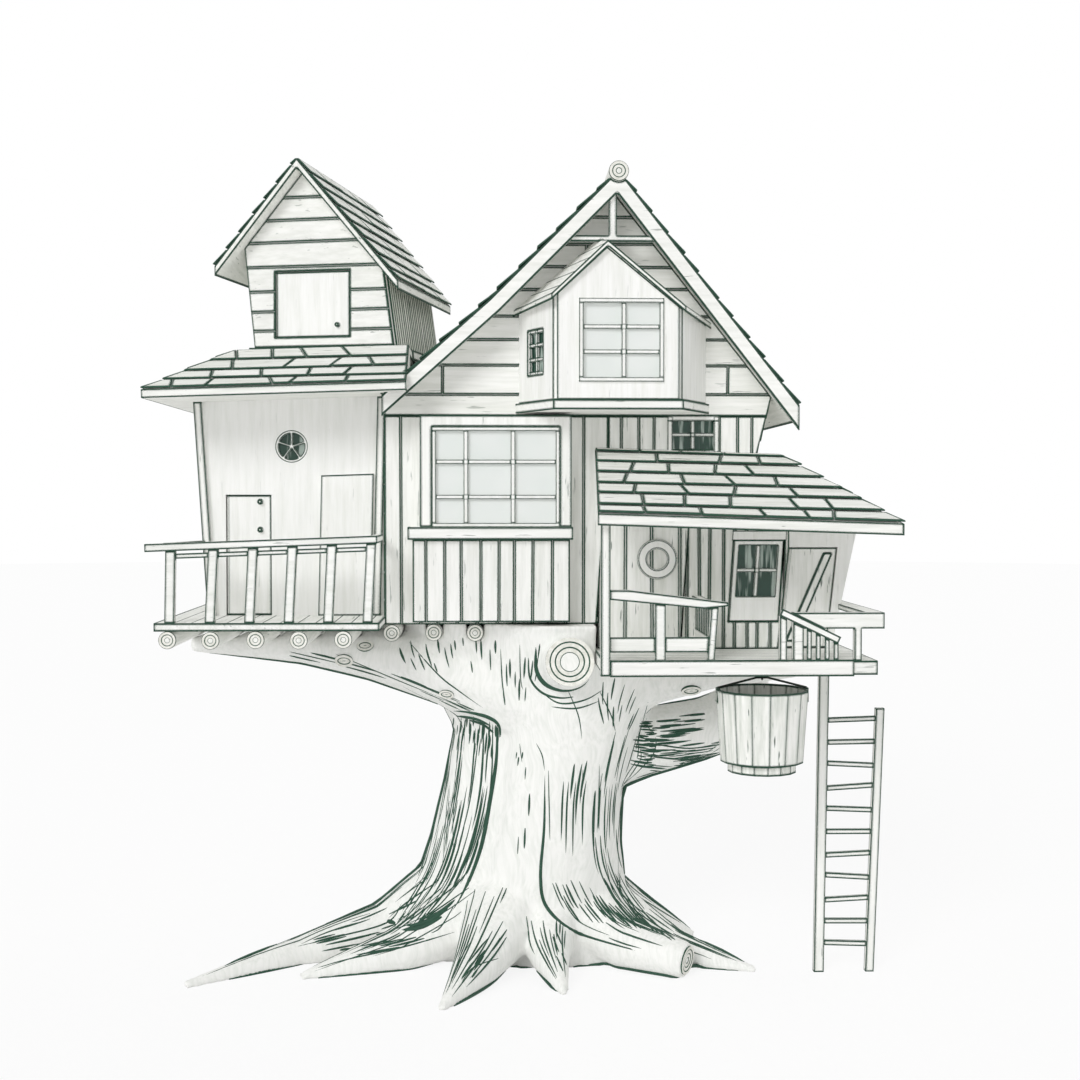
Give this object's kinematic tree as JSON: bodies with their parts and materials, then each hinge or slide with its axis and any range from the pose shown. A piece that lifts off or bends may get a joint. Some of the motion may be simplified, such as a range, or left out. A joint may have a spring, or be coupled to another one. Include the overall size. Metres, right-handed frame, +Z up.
{
  "type": "tree house",
  "caption": "Crooked timber tree house on a broad trunk: gabled house, side cabin with a hut on its roof, roofed porch, balcony, ladder and hanging tub.",
  "frame": {"origin": "on the ground under the middle of the trunk, on the flat foot of the trunk", "axes": "+X to the right of someone facing the front, +Y to the back, +Z up"},
  "size_m": [8.3316, 5.39, 9.4],
  "materials": {
    "bark": "pale limed bark with dark furrows",
    "dark_iron": "blackened forged iron",
    "deck_timber": "limed sawn planks",
    "door_timber": "limed boards",
    "log_timber": "limed round timber with sawn ends",
    "rail_timber": "limed sawn timber",
    "ring_paint": "painted timber",
    "roof_shingle": "limed split boards with dark joints",
    "trim_timber": "painted timber with dark edges",
    "tub_staves": "limed coopered staves",
    "wall_boards": "limed boards with dark joints",
    "window_glass": "clear glass with a green cast"
  },
  "bodies": {
    "house": {"balcony_rails": "rail_timber", "barge_boards": "trim_timber", "bay_apron": "wall_boards", "bay_frame": "trim_timber", "bay_sill": "trim_timber", "cabin_back_wall": "wall_boards", "cabin_corner_posts": "trim_timber", "cabin_front_wall": "wall_boards", "cabin_left_wall": "wall_boards", "cabin_panel": "door_timber", "cabin_roof": "roof_shingle", "door_heads": "wall_boards", "door_jambs": "wall_boards", "floor_joists": "log_timber", "house_back_wall": "wall_boards", "house_front_gable": "wall_boards", "house_front_wall": "wall_boards", "house_left_wall": "wall_boards", "house_right_wall": "wall_boards", "house_strip_wall": "wall_boards", "house_upper_right_wall": "wall_boards", "hut_door": "door_timber", "hut_floor": "trim_timber", "hut_gable_walls": "wall_boards", "hut_roof": "roof_shingle", "hut_side_walls": "wall_boards", "king_post": "trim_timber", "ladder_rungs": "rail_timber", "ladder_stiles": "rail_timber", "left_deck": "deck_timber", "main_floor": "deck_timber", "main_roof_left": "roof_shingle", "main_roof_right": "roof_shingle", "oriel_base": "trim_timber", "oriel_front_wall": "wall_boards", "oriel_roof": "roof_shingle", "oriel_side_walls": "wall_boards", "porch_back_wall": "wall_boards", "porch_deck": "deck_timber", "porch_fascia": "deck_timber", "porch_front_wall": "wall_boards", "porch_left_rails": "rail_timber", "porch_post": "rail_timber", "porch_proud_boards": "wall_boards", "porch_right_rails": "rail_timber", "porch_right_wall": "wall_boards", "porch_ring": "ring_paint", "porch_roof_front": "roof_shingle", "porch_roof_side": "roof_shingle", "ridge_log": "log_timber", "trunk": "bark", "tub_eye": "dark_iron", "upper_floor": "deck_timber", "window_frames": "trim_timber", "window_glass": "window_glass"},
    "balcony_door": {"balcony_door": "door_timber"},
    "porch_door": {"porch_door": "door_timber"},
    "hanging_tub": {"tub": "tub_staves", "tub_bail": "dark_iron"}
  },
  "joints": [
    {"name": "balcony_door_swing", "type": "hinge", "parent": "house", "child": "balcony_door", "pos_m": [-3.577, -0.75, 4.18], "axis": [0, 0, 1], "range_deg": [0, 90]},
    {"name": "porch_door_swing", "type": "hinge", "parent": "house", "child": "porch_door", "pos_m": [2.723, -0.95, 3.8], "axis": [0.1044, 0, 0.9945], "range_deg": [0, 90]},
    {"name": "tub_swing", "type": "hinge", "parent": "house", "child": "hanging_tub", "pos_m": [2.378, -1.7, 3.555], "axis": [1, 0, 0], "range_deg": [-8, 8]}
  ]
}
